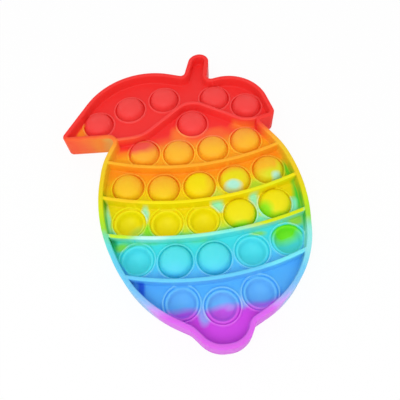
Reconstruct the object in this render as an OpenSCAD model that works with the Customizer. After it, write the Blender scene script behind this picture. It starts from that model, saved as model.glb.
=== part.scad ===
// Push-bubble toy in the shape of a lemon with two leaves and a stem.
// It is one moulding of silicone rubber: a rim wall round the outline, ribs between the
// bands, a flat web at mid-height and a row of thin domes hinged into each band.
// Both faces are alike. X runs across the fruit, Y towards the stem, Z up, and the toy
// lies on the lower edge of its rim at z = 0.

/* [Board] */
// Thickness of the toy from face to face
board_t = 15; // [14:0.5:18]
// Thickness of the rim wall round the outline
rim_t = 2.6; // [2.2:0.1:2.9]
// Rounding of the edges of the rim
rim_edge = 0.8; // [0.3:0.1:1.1]
// Thickness of the flat web between the walls
web_t = 2.0; // [1.4:0.1:3.0]

/* [Fruit] */
// Half the width across the corners of the shoulders
shoulder_x = 50.8; // [50.2:0.2:51.6]
// Half the width across the corners of the flanks
flank_x = 56.8; // [56:0.2:58]
// Half the width across the corners of the hips
hip_x = 44.4; // [43.6:0.2:45.2]
// Distance from the middle of the fruit up to the corners under the leaves
leaf_y = 51.6; // [51:0.2:52.4]
// Distance from the middle of the fruit down to where the nub begins
neck_y = 60.8; // [60:0.2:62]
// Distance from the middle of the fruit down to the end of the nub
nub_y = 71.2; // [70.4:0.2:73]
// Width of the nub
nub_w = 18; // [17.4:0.2:19]
// Radius of the shoulders
shoulder_r = 47; // [40:1:54]
// Radius of the flanks
flank_r = 88; // [80:1:90]
// Radius of the hips
hip_r = 59; // [54:1:64]

/* [Leaves and stem] */
// Reach of the left leaf from the middle of the fruit
left_leaf_x = 76.6; // [75:0.2:79]
// Reach of the right leaf from the middle of the fruit
right_leaf_x = 49.2; // [48.2:0.2:52]
// Radius of the back of the left leaf
left_leaf_r = 43; // [36:1:48]
// Radius of the back of the right leaf
right_leaf_r = 23.8; // [19:0.2:26]
// Radius of the left leaf's tip
tip_r = 3; // [3:0.1:4]
// Distance from the middle of the fruit up to the end of the stem
stem_y = 110.3; // [108:0.1:113]
// Width across the corners of the stem's end
stem_w = 13.5; // [13.2:0.1:15]

/* [Ribs] */
// Thickness of the ribs
rib_t = 2.0; // [1.6:0.1:2.2]
// Rounding of the edges of the ribs
rib_edge = 0.6; // [0.3:0.1:0.8]
// How far the edges of the ribs stay below those of the rim
rib_drop = 0.3; // [0.1:0.1:0.6]

/* [Bubbles] */
// Spacing of the bubbles along a row
pitch = 19.6; // [19.6:0.1:19.8]
// Radius of a dome at its foot
dome_r = 8.2; // [7.4:0.1:8.3]
// Height of a dome above the middle of the web
dome_h = 6.3; // [5.6:0.1:6.7]
// Radius of the flatter crown of a dome
crown_r = 13.7; // [11:0.1:16]
// Thickness of the dome's skin
dome_t = 1.1; // [0.8:0.1:1.4]
// Thickness of the hinge round the foot of a dome
hinge_t = 0.9; // [0.6:0.1:1.2]
// Width of the hinge groove
hinge_w = 0.7; // [0.5:0.1:0.8]
// Width of the raised ring round the hinge
ring_w = 0.85; // [0.6:0.05:0.85]
// Height of the raised ring above the web
ring_h = 0.9; // [0.5:0.1:1.4]

/* [Hidden] */
$fn = 96;

// Greatest gap between a true arc and the chords that stand for it.
chord_gap = 0.03;
mid_z = board_t / 2;
ring_in = dome_r + hinge_w;
ring_out = ring_in + ring_w;
nub_x = 2.2;
stem_x = 18.4;

// Outline of the toy, counter-clockwise from the foot of the stem: x, y, corner radius.
outline = [
    [-0.5, 91, 2.5],
    [-40.7, leaf_y + 55, left_leaf_r],
    [-left_leaf_x, leaf_y + 3, tip_r],
    [-43.9, leaf_y + 0.4, 3],
    [-shoulder_x - 1.4, 36.7, shoulder_r - 2],
    [-flank_x - 1, 2.6, flank_r - 1],
    [-hip_x + 3, -44.6, hip_r + 6.7],
    [nub_x - 17.4, -neck_y, 8],
    [nub_x - nub_w / 2, -nub_y, 14.6],
    [nub_x + nub_w / 2, -nub_y, 13.2],
    [nub_x + 13.2, -neck_y, 3.5],
    [hip_x + 3.1, -45.8, hip_r - 6.2],
    [flank_x - 0.9, 5.6, flank_r + 1.6],
    [shoulder_x - 1.3, 32.7, shoulder_r + 3],
    [38.5, leaf_y, 1.5],
    [right_leaf_x, leaf_y + 2.4, tip_r + 1.2],
    [41.4, leaf_y + 38.9, right_leaf_r],
    [12.7, leaf_y + 34.4, 2.5],
    [stem_x, stem_y, 5.7],
    [stem_x - stem_w, stem_y - 4.3, 6.8]
];

// Rib under the leaves, from inside the rim at the left corner over the crest to the right one.
leaf_rib = [[-45, 50.6, 0], [-28.9, 50.9, 20], [0.6, 72.8, 12], [30, 53.1, 14], [38.8, 53.3, 0]];
// Ribs between the rows: x of the lowest point, its y, radius of the arc.
row_ribs = [[1.3, 27.1, 141], [0.7, 5.4, 160], [0, -14.4, 195], [-0.5, -37.4, 141]];

// Rows of bubbles: x of the middle, its y, radius of the row's arc, and for each bubble
// 1 where it stands up and 0 where it is pushed through.
rows = [
    [0, 39.0, 132, [1, 1, 1, 1]],
    [-0.8, 16.6, 165, [1, 1, 1, 1, 1]],
    [-1.4, -3.9, 190, [0, 0, 0, 1, 1]],
    [1.1, -25.6, 170, [0, 1, 1, 0, 0]],
    [1.4, -50.1, 48, [0, 0, 0]]
];
// Bubbles in the leaves and the one under the crest of the leaf rib.
leaf_bubbles = [[-54.5, 66.5], [-35.2, 75.2], [-14.2, 79.2], [16, 75.6], [34, 66.8], [0.4, 58.9]];

bubbles = [
    for (p = leaf_bubbles) [p.x, p.y, 1],
    for (row = rows)
        let (n = len(row[3]), step = 2 * asin(pitch / 2 / row[2]))
        for (i = [0 : n - 1])
            let (a = (i - (n - 1) / 2) * step)
            [row.x + row[2] * sin(a), row.y + row[2] * (1 - cos(a)), row[3][i]]
];

// Corner i of a path: its arc's centre, start angle, turn (positive to the left) and radius.
function heading(a, b) = atan2(b.y - a.y, b.x - a.x);
function wrap(a) = a > 180 ? a - 360 : a <= -180 ? a + 360 : a;
function corner(path, i) =
    let (
        n = len(path), a = path[(i + n - 1) % n], b = path[i], c = path[(i + 1) % n],
        h0 = heading(a, b), turn = wrap(heading(b, c) - h0), side = turn > 0 ? 90 : -90,
        r = b[2], t = r * tan(abs(turn) / 2)
    )
    [[b.x, b.y] - t * [cos(h0), sin(h0)] + r * [cos(h0 + side), sin(h0 + side)], h0 - side, turn, r];

// Stations along a corner's arc: [point, direction to the left of the path].
function round_corner(path, i) =
    let (k = corner(path, i), n = ceil(abs(k[2]) / 2 / acos(1 - chord_gap / k[3])))
    [
        for (j = [0 : n])
            let (a = k[1] + k[2] * j / n, out = [cos(a), sin(a)])
            [k[0] + k[3] * out, -sign(k[2]) * out]
    ];

// Stations of a closed path, and of an open one with its two plain ends.
function closed_line(path) = [for (i = [0 : len(path) - 1]) each round_corner(path, i)];
function left_of(a, b) = let (h = heading(a, b) + 90) [cos(h), sin(h)];
function open_line(path) =
    let (n = len(path))
    [
        [[path[0].x, path[0].y], left_of(path[0], path[1])],
        for (i = [1 : n - 2]) each round_corner(path, i),
        [[path[n - 1].x, path[n - 1].y], left_of(path[n - 2], path[n - 1])]
    ];
function inset(line, d) = [for (s = line) s[0] + d * s[1]];

edge = closed_line(outline);
shore = inset(edge, rim_t / 2);
low_x = min([for (s = edge) s[0].x]);
high_x = max([for (s = edge) s[0].x]);
low_y = min([for (s = edge) s[0].y]);
high_y = max([for (s = edge) s[0].y]);

// Section of an upright wall from offset a to offset b, with its four edges rounded.
function wall_section(a, b, low, high, r, steps) = [
    for (c = [[b - r, low + r, -90], [b - r, high - r, 0], [a + r, high - r, 90], [a + r, low + r, 180]])
        for (j = [0 : steps])
            let (t = c[2] + 90 * j / steps)
            [c.x + r * cos(t), c.y + r * sin(t)]
];

// Wall of the given section swept along a line of stations.
module swept(line, section, closed) {
    m = len(section);
    n = len(line);
    points = [for (s = line) for (q = section) [each (s[0] + q.x * s[1]), q.y]];
    sides = [
        for (i = [0 : n - (closed ? 1 : 2)])
            for (j = [0 : m - 1])
                let (k = (i + 1) % n * m, l = (j + 1) % m)
                [i * m + j, k + j, k + l, i * m + l]
    ];
    ends = closed ? [] : [[for (j = [0 : m - 1]) j], [for (j = [m - 1 : -1 : 0]) (n - 1) * m + j]];
    polyhedron(points, concat(sides, ends));
}

module rim() {
    swept(edge, wall_section(0, rim_t, 0, board_t, rim_edge, 2), true);
}

module leaf_rib_bar() {
    section = wall_section(-rib_t / 2, rib_t / 2, rib_drop, board_t - rib_drop, rib_edge, 2);
    swept(open_line(leaf_rib), section, false);
}

module row_rib_bar(x, y, r) {
    half = asin((flank_x + 3) / r);
    translate([x, y + r, 0])
        rotate([0, 0, -90 - half])
            rotate_extrude(angle = 2 * half)
                polygon(wall_section(r - rib_t / 2, r + rib_t / 2, rib_drop, board_t - rib_drop, rib_edge, 3));
}

module row_ribs() {
    intersection() {
        linear_extrude(board_t) polygon(shore);
        for (r = row_ribs) row_rib_bar(r.x, r.y, r[2]);
    }
}

module web() {
    translate([0, 0, mid_z - web_t / 2])
        linear_extrude(web_t)
            difference() {
                polygon(shore);
                for (b = bubbles)
                    translate([b.x, b.y]) circle(ring_out - ring_w / 2);
            }
}

// Solid of revolution bounded by a sphere of radius foot and a flatter crown of radius top.
module dome_section(foot, top) {
    intersection() {
        circle(foot);
        translate([0, dome_h - crown_r]) circle(top);
    }
}

// Half section of a bubble that stands up: ring, hinge groove and domed skin.
module bubble_section() {
    ring_top = web_t / 2 + ring_h;
    intersection() {
        difference() {
            dome_section(dome_r, crown_r);
            dome_section(dome_r - dome_t, crown_r - dome_t);
        }
        translate([0, -hinge_t / 2]) square([dome_r + 1, dome_h + 1]);
    }
    translate([dome_r - dome_t / 2, -hinge_t / 2]) square([ring_in - dome_r + dome_t / 2 + ring_w / 2, hinge_t]);
    translate([ring_in, -ring_top]) square([ring_w, 2 * ring_top]);
}

module bubble(up) {
    translate([0, 0, mid_z])
        mirror([0, 0, 1 - up])
            rotate_extrude() bubble_section();
}

module bubble_board() {
    color("gold")
        translate([-(low_x + high_x) / 2, -(low_y + high_y) / 2, 0]) {
            rim();
            leaf_rib_bar();
            row_ribs();
            web();
            for (b = bubbles)
                translate([b.x, b.y, 0]) bubble(b[2]);
        }
}

bubble_board();
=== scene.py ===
# Push-bubble toy in the shape of a lemon with two leaves and a stem,
# one moulding of marbled silicone rubber, lying flat on a pale table.
import math

import bmesh
import bpy
import numpy as np
from mathutils import Matrix, Vector
from mathutils.geometry import delaunay_2d_cdt


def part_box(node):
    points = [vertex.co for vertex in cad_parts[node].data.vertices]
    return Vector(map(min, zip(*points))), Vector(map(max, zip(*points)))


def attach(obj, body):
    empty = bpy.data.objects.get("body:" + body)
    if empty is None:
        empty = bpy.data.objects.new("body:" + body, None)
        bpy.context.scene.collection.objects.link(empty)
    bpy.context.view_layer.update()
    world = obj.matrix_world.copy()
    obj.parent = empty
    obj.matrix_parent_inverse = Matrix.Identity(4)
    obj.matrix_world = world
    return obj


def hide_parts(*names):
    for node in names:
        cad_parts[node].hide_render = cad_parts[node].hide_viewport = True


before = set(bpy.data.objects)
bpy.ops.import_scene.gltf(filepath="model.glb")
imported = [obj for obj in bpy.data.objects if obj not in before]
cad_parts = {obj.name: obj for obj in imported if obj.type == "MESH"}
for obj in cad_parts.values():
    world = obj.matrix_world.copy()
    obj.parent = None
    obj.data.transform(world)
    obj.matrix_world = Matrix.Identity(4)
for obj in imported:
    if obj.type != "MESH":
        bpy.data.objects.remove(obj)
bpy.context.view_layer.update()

MM = 0.001

# Sizes of the moulding in mm, in the fruit's own frame: x to the right, y towards the stem,
# heights from the middle of the thickness.
BOARD_T = (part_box("bubble_board")[1][2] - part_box("bubble_board")[0][2]) / MM
HALF_T = BOARD_T / 2
# Thickness of the walls and the rounding of their edges.
RIM_T = 2.6
RIM_EDGE = 0.8
RIB_T = 2.0
RIB_EDGE = 0.6
RIB_TOP = HALF_T - 0.25
# How far a row's rib runs to either side before the rim cuts it off.
RIB_REACH = 60
# Upper side of the web, and how a wall meets it: its lean and the fillet at its foot.
WEB_TOP = 1.0
WALL_DRAFT = 0.12
FOOT_FILLET = 0.9
# Spacing of the bubbles along a row.
PITCH = 19.6

# Outline, counter-clockwise from the foot of the stem: x, y, corner radius.
OUTLINE = [
    (-0.5, 91, 2.5), (-40.7, 106.6, 43), (-76.6, 54.6, 3), (-43.9, 52, 3), (-52.2, 36.7, 45),
    (-57.8, 2.6, 87), (-41.4, -44.6, 65.7), (-15.2, -60.8, 8), (-6.8, -71.2, 14.6),
    (11.2, -71.2, 13.2), (15.4, -60.8, 3.5), (47.5, -45.8, 52.8), (55.9, 5.6, 89.6),
    (49.5, 32.7, 50), (38.5, 51.6, 1.5), (49.2, 54, 4.2), (41.4, 90.5, 23.8), (12.7, 86, 2.5),
    (18.4, 110.3, 5.7), (4.9, 106, 6.8),
]
# Curved rib under the leaves: x, y, corner radius.
LEAF_RIB = [(-45, 50.6, 0), (-28.9, 50.9, 20), (0.6, 72.8, 12), (30, 53.1, 14), (38.8, 53.3, 0)]
# Ribs between the rows: x of the lowest point, its y, radius.
ROW_RIBS = [(1.3, 27.1, 141), (0.7, 5.4, 160), (0, -14.4, 195), (-0.5, -37.4, 141)]
# Rows of bubbles: x of the middle, its y, radius of the row, and 1 for each that stands up.
ROWS = [
    (0, 39.0, 132, (1, 1, 1, 1)),
    (-0.8, 16.6, 165, (1, 1, 1, 1, 1)),
    (-1.4, -3.9, 190, (0, 0, 0, 1, 1)),
    (1.1, -25.6, 170, (0, 1, 1, 0, 0)),
    (1.4, -50.1, 48, (0, 0, 0)),
]
# Five bubbles on the leaves and one on the crest of the fruit.
LEAF_BUBBLES = [(-54.5, 66.5), (-35.2, 75.2), (-14.2, 79.2), (16, 75.6), (34, 66.8), (0.4, 58.9)]

# Half section of a bubble, from its middle out: radius and height over the middle plane.
GROOVE = [(8.3, 0.62), (8.42, 0.5), (8.6, 0.5), (8.75, 0.7), (8.85, 1.15)]
RING = [
    (8.95, 1.55), (9.1, 1.8), (9.33, 1.9), (9.55, 1.8), (9.7, 1.55), (9.82, 1.28), (10.0, 1.07),
    (10.25, 1.0),
]
# A dome that stands up is a ball's side with a flatter crown from this radius in.
DOME_R = 8.2
DOME_TOP = 6.3
CROWN_R = 13.7
CROWN_FROM = 6.6
# A dome pushed through is seen as a cup with a rolled lip.
CUP_LIP = [
    (6.0, -2.2), (6.35, -1.3), (6.6, -0.5), (6.85, 0.15), (7.15, 0.62), (7.5, 0.88), (7.85, 0.86),
    (8.1, 0.7),
]
CUP_DEPTH = 5.15
CUP_CURVE = 0.075

# Greatest distances between points of the mesh, along corners and along ribs.
CORNER_STEP = 1.3
RIB_STEP = 1.6
# Points round a bubble on the underside and on the top.
ROUND_POINTS = (32, 44)


def linear(hex_colour):
    """sRGB hex value as linear RGBA."""
    parts = [int(hex_colour[i:i + 2], 16) / 255 for i in (1, 3, 5)]
    rgb = [c / 12.92 if c <= 0.04045 else ((c + 0.055) / 1.055) ** 2.4 for c in parts]
    return (*rgb, 1.0)


# Paths of corners and arcs

def heading(a, b):
    return math.atan2(b[1] - a[1], b[0] - a[0])


def turn_at(path, i):
    """Heading into corner i and the turn there, positive to the left."""
    n = len(path)
    into = heading(path[i - 1], path[i])
    out = heading(path[i], path[(i + 1) % n])
    return into, (out - into + math.pi) % (2 * math.pi) - math.pi


def moved_left(path, d):
    """The closed path moved to its left by d, with its corners and radii to match."""
    moved = []
    for i, (x, y, r) in enumerate(path):
        into, turn = turn_at(path, i)
        side = into + turn / 2 + math.pi / 2
        out = d / math.cos(turn / 2)
        radius = max(r - math.copysign(d, turn), 0.25)
        moved.append((x + out * math.cos(side), y + out * math.sin(side), radius))
    return moved


def arc_points(path, i, step, least_r=3.0):
    """Points round corner i, at most a step apart. A corner tighter than the least radius gets
    as many as one of that radius."""
    x, y, r = path[i]
    into, turn = turn_at(path, i)
    t = r * math.tan(abs(turn) / 2)
    side = math.copysign(math.pi / 2, turn)
    cx = x - t * math.cos(into) + r * math.cos(into + side)
    cy = y - t * math.sin(into) + r * math.sin(into + side)
    n = max(4, math.ceil(abs(turn) * max(r, least_r) / step))
    angles = [into - side + turn * j / n for j in range(n + 1)]
    return [(cx + r * math.cos(a), cy + r * math.sin(a)) for a in angles]


def closed_line(path, step=CORNER_STEP):
    return [p for i in range(len(path)) for p in arc_points(path, i, step)]


def open_line(path):
    inner = [p for i in range(1, len(path) - 1) for p in arc_points(path, i, CORNER_STEP)]
    return [path[0][:2]] + inner + [path[-1][:2]]


def split_long(line, longest):
    """The open line with points added, so that no stretch is longer than the given length."""
    out = []
    for a, b in zip(line, line[1:]):
        n = max(1, math.ceil(math.dist(a, b) / longest))
        out += [(a[0] + (b[0] - a[0]) * k / n, a[1] + (b[1] - a[1]) * k / n) for k in range(n)]
    return out + [line[-1]]


def distance_to(points, line, closed):
    """Distance of each point to a line of points."""
    a = np.array(line)
    b = np.roll(a, -1, axis=0) if closed else a[1:]
    best = np.full(len(points), 1e9)
    for start, end in zip(a, b):
        run = end - start
        s = np.clip(((points - start) @ run) / max(run @ run, 1e-12), 0, 1)
        off = points - start - s[:, None] * run
        best = np.minimum(best, np.hypot(off[:, 0], off[:, 1]))
    return best


def is_inside(points, line):
    """Whether each point lies inside a closed line, which a ray from it then crosses an odd
    number of times."""
    x, y = points[:, 0], points[:, 1]
    odd = np.zeros(len(points), bool)
    for (ax, ay), (bx, by) in zip(line, line[1:] + line[:1]):
        if ay != by:
            odd ^= ((ay > y) != (by > y)) & (x < ax + (y - ay) * (bx - ax) / (by - ay))
    return odd


# Sections: pairs of distance and height

def quarter(centre, r, first, last, steps):
    """Points of an arc in section, angles in degrees."""
    angles = [math.radians(first + (last - first) * k / steps) for k in range(steps + 1)]
    return [(centre[0] + r * math.cos(a), centre[1] + r * math.sin(a)) for a in angles]


def wall_side(edge_at, edge_r, top, steps=4):
    """One side of a wall, from its flat top out over the rounded edge and down to its foot."""
    rounding = quarter((edge_at - edge_r, top - edge_r), edge_r, 90, 0, steps)
    foot = edge_at + WALL_DRAFT + FOOT_FILLET
    fillet = quarter((foot, WEB_TOP + FOOT_FILLET), FOOT_FILLET, 180, 270, steps)
    return rounding + fillet


RIM_SIDE = wall_side(RIM_T, RIM_EDGE, HALF_T)
RIM_SECTION = quarter((RIM_EDGE, HALF_T - RIM_EDGE), RIM_EDGE, 180, 90, 4) + RIM_SIDE
RIB_SECTION = wall_side(RIB_T / 2, RIB_EDGE, RIB_TOP)


def dome_section():
    """A ball's side under a flatter crown, down to the groove and ring."""
    side = quarter((0, 0), DOME_R, 28, 16, 2) + quarter((0, 0), DOME_R, 11, 7, 1)
    crown = [
        (r, DOME_TOP - CROWN_R + math.sqrt(CROWN_R ** 2 - r ** 2))
        for r in (0, 1.2, 2.4, 3.6, 4.7, 5.7, CROWN_FROM)
    ]
    return crown + side + GROOVE + RING


def cup_section():
    """A shallow bowl and its lip, up to the groove and ring."""
    bowl = [(r, CUP_CURVE * r * r - CUP_DEPTH) for r in (0, 1.2, 2.4, 3.6, 4.7, 5.4)]
    return bowl + CUP_LIP + GROOVE + RING


# Mesh of one face: lines of the sections laid over the plan, and heights at their points

def centre_shift():
    """Middle of the outline's box, where the frame has its origin."""
    xs, ys = zip(*closed_line(OUTLINE, 0.5))
    return (min(xs) + max(xs)) / 2, (min(ys) + max(ys)) / 2


def row_rib_line(x, y, r):
    half = math.asin(min(1, RIB_REACH / r))
    n = math.ceil(2 * half * r / RIB_STEP)
    angles = [-math.pi / 2 - half + 2 * half * k / n for k in range(n + 1)]
    return [(x + r * math.cos(a), y + r + r * math.sin(a)) for a in angles]


def bubble_places():
    """Every bubble: x, y, and 1 where it stands up."""
    places = [(x, y, 1) for x, y in LEAF_BUBBLES]
    for x, y, r, states in ROWS:
        step = 2 * math.asin(PITCH / 2 / r)
        for i, up in enumerate(states):
            a = (i - (len(states) - 1) / 2) * step
            places.append((x + r * math.sin(a), y + r * (1 - math.cos(a)), up))
    return places


def circle(x, y, r, n):
    angles = [2 * math.pi * k / n for k in range(n)]
    return [(x + r * math.cos(a), y + r * math.sin(a)) for a in angles]


RIM_LINE = closed_line(OUTLINE)
RIB_LINES = [row_rib_line(*rib) for rib in ROW_RIBS] + [split_long(open_line(LEAF_RIB), RIB_STEP)]
BUBBLES = bubble_places()
DOME = dome_section()
CUP = cup_section()


def band_level(x, y):
    """Which band of colour a place lies in, as the height that the band has in the middle of the
    fruit. The bands sag like the rows of bubbles, but under the leaves they lie level."""
    return y - x * x * np.interp(y, (26, 44), (1 / 330, 0))


def wall_height(section, d):
    """Height of a wall at a distance. Past its foot it dives away, so that a groove beside it
    keeps its own depth."""
    foot = section[-1][0]
    return np.interp(d, *zip(*section, (foot + 0.2, 0.2), (foot + 2, -9)))


# Radii in mm where a bubble's groove and ring begin, are whole and end, for their colours, the
# painted shade in the groove and the painted highlight on the ring.
GROOVE_SPAN = (8.15, 8.35, 8.7, 8.9)
RING_SPAN = (8.8, 8.95, 9.75, 10.15)
# Web and ribs show colours from this many mm lower down the fruit than the domes do.
WEB_LAG = 3.5


def relief(points, face):
    """Height over the middle plane of one face of the moulding, 1 for the top and 0 for the
    underside. With it come, for each point, its share in each part of the moulding and the shift
    of its band of colour."""
    x, y = points.T
    z = np.full(len(points), WEB_TOP)
    dome, groove, ring, middle = np.zeros((4, len(points)))
    for bx, by, up in BUBBLES:
        r = np.hypot(x - bx, y - by)
        radii, levels = zip(*(DOME if up == face else CUP))
        here = r < RING[-1][0]
        level = np.interp(r, radii, levels)
        raised = np.where(r > GROOVE[-1][0], np.maximum(z, level), level)
        z = np.where(here, raised, z)
        dome = np.where(r < GROOVE[-2][0], 1, dome)
        groove = np.maximum(groove, np.interp(r, GROOVE_SPAN, (0, 1, 1, 0)))
        ring = np.maximum(ring, np.interp(r, RING_SPAN, (0, 1, 1, 0)))
        middle = np.where(here, band_level(bx, by), middle)
    floor = z
    from_edge = distance_to(points, RIM_LINE, True)
    z = np.maximum(z, wall_height(RIM_SECTION, from_edge))
    rim = np.clip((RIM_T + FOOT_FILLET - from_edge) / 0.8, 0, 1)
    rib = np.zeros(len(points))
    # Ribs end inside the rim, under its flat top, so that its outer edge stays rounded.
    for line in RIB_LINES:
        d = distance_to(points, line, False)
        z = np.where(from_edge > RIM_T / 2, np.maximum(z, wall_height(RIB_SECTION, d)), z)
        rib = np.where(d < RIB_T / 2 + 0.1, 1 - rim, rib)
    crest = np.interp(z, (6.3, 7.0), (0, 1))
    dome, groove, ring = np.where(z > floor, 0, (dome, groove, ring))
    # The web's lag ends in the last row and under the leaves. Above the last row a dome's band
    # goes halfway to that of its own middle.
    upper = np.interp(y, (-44, -36), (0, 1))
    band = band_level(x, y) - WEB_LAG * (1 - dome) * upper * np.interp(y, (34, 50), (1, 0))
    band += 0.5 * upper * dome * (middle - band)
    return z, {
        "dome": dome,
        "groove": groove,
        "ring": ring,
        "rib": rib * crest,
        "rim": rim,
        "web": np.clip(1 - dome - rib - rim, 0, 1),
        "inner_wall": rim * (1 - crest) * (from_edge > RIM_T / 2),
        "outer_wall": rim * (1 - crest) * (from_edge < RIM_T / 2),
        "band_shift": band - y,
    }


def plan_lines(face):
    """Lines that the mesh of one face follows, as (points, closed)."""
    lines = []
    for d, _ in RIM_SECTION:
        lines.append((closed_line(moved_left(OUTLINE, d) if d else OUTLINE), True))
    for line in RIB_LINES:
        for d, _ in RIB_SECTION:
            for side in (-d, d):
                lines += [(run, False) for run in inside_runs(beside_line(line, side))]
    for x, y, up in BUBBLES:
        for r, _ in (DOME if up == face else CUP)[1:]:
            lines.append((circle(x, y, r, ROUND_POINTS[face] // (1 if r > 4 else 2)), True))
    return lines


def beside_line(line, d):
    """The line moved to its left by d, point by point."""
    p = np.array(line)
    run = np.gradient(p, axis=0)
    run /= np.hypot(run[:, 0], run[:, 1])[:, None]
    return p + d * np.stack([-run[:, 1], run[:, 0]], 1)


def inside_runs(line):
    """Stretches of a line that lie at least half the rim inside the outline."""
    good = is_inside(line, RIM_LINE) & (distance_to(line, RIM_LINE, True) > RIM_T / 2)
    runs, run = [], []
    for p, ok in zip(line, good):
        if ok:
            run.append(tuple(p))
        elif run:
            runs.append(run)
            run = []
    if run:
        runs.append(run)
    return [r for r in runs if len(r) > 1]


def face_mesh(face):
    """Points and triangles of one face in plan."""
    points, edges = [], []
    for line, closed in plan_lines(face):
        first = len(points)
        points += line
        edges += [(first + k, first + k + 1) for k in range(len(line) - 1)]
        if closed:
            edges.append((first + len(line) - 1, first))
    points += [(x, y) for x, y, _ in BUBBLES]
    flat = [Vector(p) for p in points]
    verts, _, tris, _, _, _ = delaunay_2d_cdt(flat, edges, [], 0, 1e-5, False)
    xy = np.array([(v.x, v.y) for v in verts])
    tris = np.array([t for t in tris if len(t) == 3])
    tris = tris[is_inside(xy[tris].mean(axis=1), RIM_LINE)]
    return xy, tris


# Fields that the colours read.
FIELDS = ("dome", "groove", "ring", "rib", "rim", "web", "inner_wall", "outer_wall", "band_shift")


def turns_left(a, b, c):
    """Whether a triangle in plan runs counter-clockwise."""
    return (b - a)[0] * (c - a)[1] - (b - a)[1] * (c - a)[0] > 0


def moulding():
    """The whole toy as one closed mesh: two faces and the wall between their edges."""
    shift = centre_shift()
    bm = bmesh.new()
    layers = [bm.verts.layers.float.new(name) for name in FIELDS]
    brinks = []
    for face in (0, 1):
        xy, tris = face_mesh(face)
        z, fields = relief(xy, face)
        verts = []
        heights = HALF_T + (z if face else -z)
        for (x, y), h, *values in zip(xy, heights, *(fields[name] for name in FIELDS)):
            v = bm.verts.new(((x - shift[0]) * MM, (y - shift[1]) * MM, h * MM))
            for layer, value in zip(layers, values):
                v[layer] = value
            verts.append(v)
        for a, b, c in tris:
            outward = (a, b, c) if turns_left(xy[a], xy[b], xy[c]) == bool(face) else (a, c, b)
            bm.faces.new([verts[k] for k in outward])
        brinks.append([verts[np.argmin(((xy - p) ** 2).sum(axis=1))] for p in np.array(RIM_LINE)])
    low, high = brinks
    for k in range(len(low)):
        ring = (low[k - 1], low[k], high[k], high[k - 1])
        if len(set(ring)) == 4:
            bm.faces.new(ring)
    bmesh.ops.delete(bm, geom=[v for v in bm.verts if not v.link_faces], context="VERTS")
    for f in bm.faces:
        f.smooth = True
    mesh = bpy.data.meshes.new("silicone_board")
    bm.to_mesh(mesh)
    bm.free()
    piece = bpy.data.objects.new("silicone_board", mesh)
    bpy.context.collection.objects.link(piece)
    return piece


# Finish

def add(tree, kind, links=(), **settings):
    """Adds a node. Settings are its properties or, for names in inputs, the values of its sockets;
    links are pairs of a source socket and the name or number of the input that it feeds."""
    node = tree.nodes.new(kind)
    sockets = settings.pop("inputs", {})
    for name, value in settings.items():
        setattr(node, name, value)
    for name, value in sockets.items():
        node.inputs[name].default_value = value
    for source, name in links:
        tree.links.new(source, node.inputs[name])
    return node


# Colours down the fruit: height in mm of the band where each is clear, from the nub up.
BANDS = [
    (-75, "#D04CE2"), (-56.5, "#D048E0"), (-53, "#C848DE"), (-51.5, "#8E84EA"), (-49.5, "#5AB0F0"),
    (-41, "#58B8F4"), (-36, "#5CC2F6"), (-31, "#4CD0EE"), (-27, "#44D8E4"), (-22, "#48DEE6"),
    (-18, "#58E0D4"), (-15.5, "#8CE4A8"), (-12.5, "#CCE838"), (-8, "#E8D808"), (-2, "#EEDA02"),
    (6, "#F0D600"), (11, "#F0CA06"), (15, "#F4B214"), (19, "#F6A418"), (23.5, "#F69C1C"),
    (28, "#F8A61A"), (38, "#FAAE1A"), (44, "#F89228"), (49, "#F45E34"), (53, "#EE3634"),
    (110, "#EC3230"),
]
# The same along the rim, where lower colours climb; the rim's colours are also painted paler, a
# painted highlight for light in the thin edge.
RIM_BANDS = [
    (-70, "#D664E0"), (-54, "#D668E6"), (-51, "#CC9CF0"), (-48, "#9CBAF0"), (-43, "#80C0EE"),
    (-36, "#74C8EE"), (-26, "#66CEE8"), (-18, "#6CDAD8"), (-13, "#7CDCA8"), (-8, "#9EDC3C"),
    (-3, "#B2DE20"), (3, "#CEE010"), (8, "#DCD40C"), (20, "#E8C81A"), (30, "#E8C628"),
    (38, "#F0BA30"), (44, "#F8A030"), (49, "#F46434"), (53, "#EE3A34"), (110, "#EC3432"),
]
LOWEST, HIGHEST = -75, 115
# How much lower the rim's bands lie for each mm to the right.
RIM_TILT = 0.075
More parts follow.
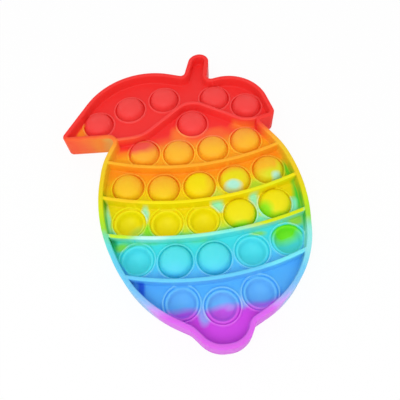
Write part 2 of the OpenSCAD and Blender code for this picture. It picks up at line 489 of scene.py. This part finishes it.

# Patches where one colour of the pour runs into another, and a few of painted shade and painted
# highlight, marked where they stand: the part of the moulding, then x, y, half width, half height
# in mm, share, colour. A patch is whole in its inner half and gone a quarter past its edge.
WHOLE, GONE = 0.5, 1.25
PATCHES = [
    # Leaves, crest and first row
    ("web", -65, 64.5, 5, 5, 0.9, "#F8A028"),
    ("web", 12, 50.5, 9, 4.5, 0.8, "#FA7038"),
    ("web", -9, 50, 5, 7, 0.7, "#F88A34"),
    ("web", 30, 53, 7, 3.5, 0.7, "#F89434"),
    ("web", -36, 51, 12, 4, 0.9, "#EE3634"),
    ("dome", -31, 46, 10, 4.5, 0.95, "#EC3634"),
    ("rim", -54, 52, 10, 3, 0.5, "#F08A30"),
    ("outer_wall", -61, 52, 8, 4, 0.8, "#F08038"),
    ("outer_wall", -53, 52, 7, 4, 0.9, "#F0A430"),
    ("outer_wall", -46.5, 51, 6, 4, 1.0, "#CCD070"),
    # Second row
    ("dome", -1, 17, 9, 12, 1.0, "#F0D200"),
    ("dome", 18.8, 16.5, 9, 6, 0.9, "#E2D604"),
    ("dome", 17.8, 11.6, 4.2, 2.8, 1.0, "#A0E4CC"),
    ("dome", 39.5, 16, 8, 4.5, 0.8, "#C8DC14"),
    ("dome", 44.5, 20, 3.5, 4.5, 0.7, "#D4DC10"),
    ("dome", 40.6, 15, 3.2, 3, 1.0, "#A4E4CC"),
    ("web", 9, 9, 3.5, 5, 0.7, "#C8E850"),
    ("web", 30, 12, 4, 4, 0.8, "#B0E030"),
    ("web", 49, 19, 3.5, 7, 0.9, "#58D020"),
    ("inner_wall", 53, 17, 5, 6, 0.8, "#68C828"),
    ("rib", -44, 11, 11, 6, 0.7, "#FFBC18"),
    ("rib", 38, 9, 20, 6, 0.7, "#D4E010"),
    # Third row
    ("inner_wall", -54, 12, 6, 6, 0.9, "#48B018"),
    ("inner_wall", -54, 0, 6, 10, 1.0, "#3CD080"),
    ("web", -52.8, 3, 2.2, 14, 1.0, "#34C858"),
    ("web", -50.6, 3, 1.3, 8, 1.0, "#A8F4CC"),
    ("web", -31.4, 3.5, 2.2, 4.5, 0.9, "#A0EED0"),
    ("web", -31, -6, 3, 5, 0.8, "#80E020"),
    ("web", 7.8, 4.2, 3, 3.5, 0.85, "#98F0D0"),
    ("web", 27.8, 4.8, 3, 4.5, 0.85, "#98F0D0"),
    ("web", 28.4, -7.6, 4, 3, 0.9, "#80ECD0"),
    ("web", -20, -12, 30, 2.6, 0.7, "#68D838"),
    ("web", 14, -11.5, 8, 2.5, 0.8, "#58CC28"),
    ("web", 50.5, 4, 3.2, 11, 1.0, "#4CD03C"),
    ("web", 47.4, -1.8, 2, 5, 1.0, "#90F0D0"),
    ("inner_wall", 54, 3, 6, 9, 1.0, "#44C838"),
    ("dome", -36.5, -4, 5, 4.5, 0.7, "#A0DC48"),
    ("dome", 15.5, -12.3, 9, 3.6, 0.9, "#80DC10"),
    ("dome", 31, -3.8, 4.6, 6.2, 0.95, "#80DE10"),
    ("dome", 37, -9.5, 7, 4, 0.7, "#98E010"),
    ("groove", 20, -8, 14, 8, 1.0, "#50CC10"),
    ("groove", -20, -11, 32, 4.5, 0.6, "#78CC10"),
    # Pale mint crescent on the lower left of the ring: partly the ring's own mint, partly painted
    # highlight.
    ("ring", 30, -4.5, 5, 6, 0.9, "#98F4C4"),
    ("rib", -50, -8, 15, 7, 1.0, "#B8E828"),
    ("rib", -8, -13, 30, 5, 0.8, "#90ECCC"),
    # Near-white on the crest at the left of this rib: partly its pale mint, partly painted
    # highlight.
    ("rib", -31, -12.5, 9, 4, 0.8, "#C8F8EC"),
    ("rib", 39, -9, 26, 10, 1.0, "#CCDE08"),
    # Fourth row
    ("inner_wall", -51, -11, 6, 6, 1.0, "#20B850"),
    ("inner_wall", -49, -18, 6, 5, 1.0, "#30D0C0"),
    ("inner_wall", -46, -26, 6, 6, 1.0, "#2898DC"),
    ("web", -49.5, -12, 2.6, 4, 0.9, "#28C070"),
    ("web", -47, -20, 2, 4, 0.8, "#38D8D0"),
    ("web", -44.5, -26.5, 2.2, 3.5, 0.8, "#2CA0E0"),
    ("inner_wall", 54, -12, 6, 8, 1.0, "#2CC470"),
    ("web", -45.5, -13.5, 3.5, 2.5, 0.9, "#90E040"),
    ("web", 26, -16.2, 4.5, 2, 0.8, "#98DC30"),
    ("web", 41, -10.5, 5, 2.2, 0.8, "#98D420"),
    ("web", 48, -11.5, 4.5, 4, 0.9, "#A8DC18"),
    ("dome", 42, -16.5, 11, 5.4, 1.0, "#68E010"),
    ("rim", 50, -26, 9, 12, 0.6, "#A8ECE4"),
    ("rib", 0, -34, 54, 10, 0.85, "#5CC6F0"),
    ("rib", 40, -31, 16, 7, 0.8, "#6CE4EC"),
    # Last row and nub
    # Painted shade: the darker blue on the lower left inner wall and along its foot stands for
    # shade against the wall.
    ("inner_wall", -37, -40, 9, 9, 1.0, "#1850DC"),
    ("web", -38, -36, 2.4, 7, 0.9, "#1C60DC"),
    ("dome", 1, -53.2, 9.5, 5.2, 1.0, "#CC4CDC"),
    ("dome", 5.5, -50.5, 3, 1.6, 0.5, "#C0A0F2"),
    ("dome", -20.5, -51.6, 10, 5, 1.0, "#C04CDE"),
    ("dome", 21, -54, 8, 3.4, 0.9, "#C46CEC"),
    ("web", -8.5, -53, 3, 5, 0.9, "#90A8EE"),
    ("web", 12, -50, 3, 3, 0.7, "#90B4EE"),
]


def board_position(tree):
    """Place on the toy in mm in the fruit's own frame."""
    shift = centre_shift()
    place = add(tree, "ShaderNodeTexCoord").outputs["Object"]
    return add(
        tree, "ShaderNodeMapping", [(place, "Vector")],
        inputs={"Location": (shift[0], shift[1], 0), "Scale": (1 / MM, 1 / MM, 1 / MM)},
    ).outputs["Vector"]


def wandering(tree, place, size, reach, seed):
    """The place moved by up to about reach mm by slow noise with swirls of the given size in mm.
    The noise mostly stays within a quarter of its middle, so it is taken four times."""
    moved = add(
        tree, "ShaderNodeVectorMath", [(place, 0)],
        operation="ADD", inputs={1: (seed, 3 * seed, 0)},
    )
    noise = add(
        tree, "ShaderNodeTexNoise", [(moved.outputs[0], "Vector")],
        inputs={"Scale": 1 / size, "Detail": 1.0, "Roughness": 0.45},
    )
    centred = add(
        tree, "ShaderNodeVectorMath", [(noise.outputs["Color"], 0)],
        operation="SUBTRACT", inputs={1: (0.5, 0.5, 0.5)},
    )
    return add(
        tree, "ShaderNodeVectorMath", [(centred.outputs[0], 0), (place, 2)],
        operation="MULTIPLY_ADD", inputs={1: (4 * reach, 4 * reach, 0)},
    ).outputs[0]


def banded(tree, height, bands):
    """Colour of the band at a height in mm."""
    share = add(
        tree, "ShaderNodeMapRange", [(height, "Value")],
        inputs={"From Min": LOWEST, "From Max": HIGHEST},
    )
    ramp = add(tree, "ShaderNodeValToRGB", [(share.outputs[0], "Fac")])
    stops = ramp.color_ramp.elements
    while len(stops) < len(bands):
        stops.new(1.0)
    for stop, (level, colour) in zip(stops, bands):
        stop.position = (level - LOWEST) / (HIGHEST - LOWEST)
        stop.color = linear(colour)
    return ramp.outputs["Color"]


def poured_colour(tree):
    """Bands down the fruit, then the patches, then painted light: thin domes and raised crests
    painted lighter, hollow grooves painted darker.
    """
    field = {
        name: add(tree, "ShaderNodeAttribute", attribute_name=name).outputs["Fac"]
        for name in FIELDS
    }
    # Swirls of 30 mm bend the borders by up to 2 mm, and swirls of 9 mm by up to 0.8 mm.
    place = wandering(tree, wandering(tree, board_position(tree), 30, 2.0, 5.0), 9, 0.8, 1.0)
    up = add(
        tree, "ShaderNodeVectorMath", [(place, 0)],
        operation="DOT_PRODUCT", inputs={1: (0, 1, 0)},
    )
    band = add(
        tree, "ShaderNodeMath", [(up.outputs["Value"], 0), (field["band_shift"], 1)],
        operation="ADD",
    )
    level = add(
        tree, "ShaderNodeVectorMath", [(place, 0)],
        operation="DOT_PRODUCT", inputs={1: (RIM_TILT, 1, 0)},
    )
    colour = add(
        tree, "ShaderNodeMix", data_type="RGBA", links=[
            (field["rim"], 0), (banded(tree, band.outputs[0], BANDS), 6),
            (banded(tree, level.outputs["Value"], RIM_BANDS), 7),
        ],
    ).outputs[2]
    for part, x, y, wide, high, most, hue in PATCHES:
        near = add(
            tree, "ShaderNodeMapping", [(place, "Vector")], vector_type="TEXTURE",
            inputs={"Location": (x, y, 0), "Scale": (wide, high, 1e6)},
        )
        far = add(tree, "ShaderNodeVectorMath", [(near.outputs[0], 0)], operation="LENGTH")
        amount = add(
            tree, "ShaderNodeMapRange", [(far.outputs["Value"], "Value")],
            inputs={"From Min": GONE, "From Max": WHOLE, "To Min": 0, "To Max": most},
        )
        here = add(
            tree, "ShaderNodeMath", [(amount.outputs[0], 0), (field[part], 1)],
            operation="MULTIPLY",
        )
        patch = add(
            tree, "ShaderNodeMix", [(here.outputs[0], 0), (colour, 6)],
            data_type="RGBA", inputs={7: linear(hue)},
        )
        colour = patch.outputs[2]
    # Painted light and shade: the thin domes and the crests of rings and ribs are painted lighter,
    # a painted highlight for light coming through and gathering in them, and the grooves are
    # painted darker, a painted shade for light caught in them.
    for part, gamma in (("dome", 0.83), ("ring", 0.72), ("rib", 0.86), ("groove", 1.35)):
        painted_light_gamma = add(tree, "ShaderNodeGamma", [(colour, "Color")], inputs={"Gamma": gamma})
        painted_light_mix = add(
            tree, "ShaderNodeMix", [(field[part], 0), (colour, 6), (painted_light_gamma.outputs[0], 7)],
            data_type="RGBA",
        )
        colour = painted_light_mix.outputs[2]
    return colour


def rainbow_silicone():
    """Silicone rubber, compression moulded from sheets of coloured gum: soft bands with blurred,
    wandering borders, a satin skin with a broad weak gleam, and a little light let into thin
    edges."""
    material = bpy.data.materials.new("moulded_silicone_rainbow")
    material.use_nodes = True
    tree = material.node_tree
    skin = tree.nodes["Principled BSDF"]
    tree.links.new(poured_colour(tree), skin.inputs["Base Color"])
    # The grain of a blasted mould is about 0.1 mm. It is drawn at 0.8 mm, so that it shows.
    grain = add(
        tree, "ShaderNodeTexNoise", [(board_position(tree), "Vector")],
        inputs={"Scale": 1 / 0.8, "Detail": 2.0},
    )
    bump = add(
        tree, "ShaderNodeBump", [(grain.outputs["Fac"], "Height")],
        inputs={"Strength": 0.12, "Distance": 0.00006},
    )
    tree.links.new(bump.outputs["Normal"], skin.inputs["Normal"])
    # Silicone's own IOR, with a low gleam for its soft, slightly dusty skin.
    for name, value in {
        "Roughness": 0.5, "IOR": 1.41, "Specular IOR Level": 0.2,
        "Subsurface Weight": 0.45, "Subsurface Radius": (1.0, 0.9, 0.8), "Subsurface Scale": 0.0025,
    }.items():
        skin.inputs[name].default_value = value
    return material


def pale_table():
    """Matt white painted board. Seen directly it is as bright as the backdrop, and it keeps the
    toy's soft shadow."""
    material = bpy.data.materials.new("matt_paint_white_table")
    material.use_nodes = True
    tree = material.node_tree
    paint = tree.nodes["Principled BSDF"]
    paint.inputs["Base Color"].default_value = linear("#F4F4F4")
    paint.inputs["Roughness"].default_value = 0.9
    paint.inputs["Specular IOR Level"].default_value = 0.1
    path = add(tree, "ShaderNodeLightPath")
    rays = path.outputs
    seen = add(
        tree, "ShaderNodeMath", [(rays["Is Camera Ray"], 0), (rays["Is Glossy Ray"], 1)],
        operation="MAXIMUM",
    )
    seen = add(
        tree, "ShaderNodeMath", [(seen.outputs[0], 0), (rays["Is Transmission Ray"], 1)],
        operation="MAXIMUM",
    )
    share = add(
        tree, "ShaderNodeMath", [(seen.outputs[0], 0)], operation="MULTIPLY", inputs={1: 0.9},
    )
    white = add(tree, "ShaderNodeEmission", inputs={"Color": (1, 1, 1, 1), "Strength": 1.0})
    blend = add(
        tree, "ShaderNodeMixShader",
        [(share.outputs[0], 0), (paint.outputs[0], 1), (white.outputs[0], 2)],
    )
    tree.links.new(blend.outputs[0], tree.nodes["Material Output"].inputs["Surface"])
    return material


# Camera of the photograph: place in mm in the fruit's frame and turns in degrees about x, y, z.
CAMERA_AT = (-8.513, -103.764, 226.12)
CAMERA_TURNS = (-27.2705, 1.6015, 7.768)


def look_down():
    """A lens of 40.86 mm on a 36 mm square, in front of the nub and looking down."""
    shift = centre_shift()
    data = bpy.data.cameras.new("camera")
    data.sensor_width = 36
    data.lens = 40.86
    data.clip_start = 0.01
    camera = bpy.data.objects.new("camera", data)
    by_x, by_y, by_z = (
        Matrix.Rotation(math.radians(a), 3, axis) for a, axis in zip(CAMERA_TURNS, "XYZ")
    )
    into = by_z @ by_y @ by_x
    x, y, z = CAMERA_AT
    spot = Vector(((x - shift[0]) * MM, (y - shift[1]) * MM, z * MM))
    camera.matrix_world = Matrix.Translation(spot) @ into.transposed().to_4x4()
    bpy.context.collection.objects.link(camera)
    bpy.context.scene.camera = camera


def table():
    """Top of the table, 3 m square."""
    mesh = bpy.data.meshes.new("table_top")
    bm = bmesh.new()
    bmesh.ops.create_grid(bm, x_segments=1, y_segments=1, size=1.5)
    bm.to_mesh(mesh)
    bm.free()
    mesh.materials.append(pale_table())
    floor = bpy.data.objects.new("table_top", mesh)
    bpy.context.collection.objects.link(floor)


def lights():
    """A white room and one large soft lamp high behind the camera."""
    scene = bpy.context.scene
    world = bpy.data.worlds.new("white_room")
    world.use_nodes = True
    sky = world.node_tree.nodes["Background"]
    sky.inputs["Color"].default_value = (1, 1, 1, 1)
    sky.inputs["Strength"].default_value = 0.76
    scene.world = world
    lamp = bpy.data.lights.new("soft_lamp", "AREA")
    lamp.shape = "DISK"
    lamp.size = 0.8
    lamp.energy = 5.0
    holder = bpy.data.objects.new("soft_lamp", lamp)
    holder.location = (-0.15, -0.55, 0.95)
    holder.rotation_euler = holder.location.to_track_quat("Z", "Y").to_euler()
    bpy.context.collection.objects.link(holder)


look_down()
board = moulding()
board.data.materials.append(rainbow_silicone())
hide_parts("bubble_board")
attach(board, "root")
table()
lights()
bpy.context.scene.view_settings.view_transform = "Standard"
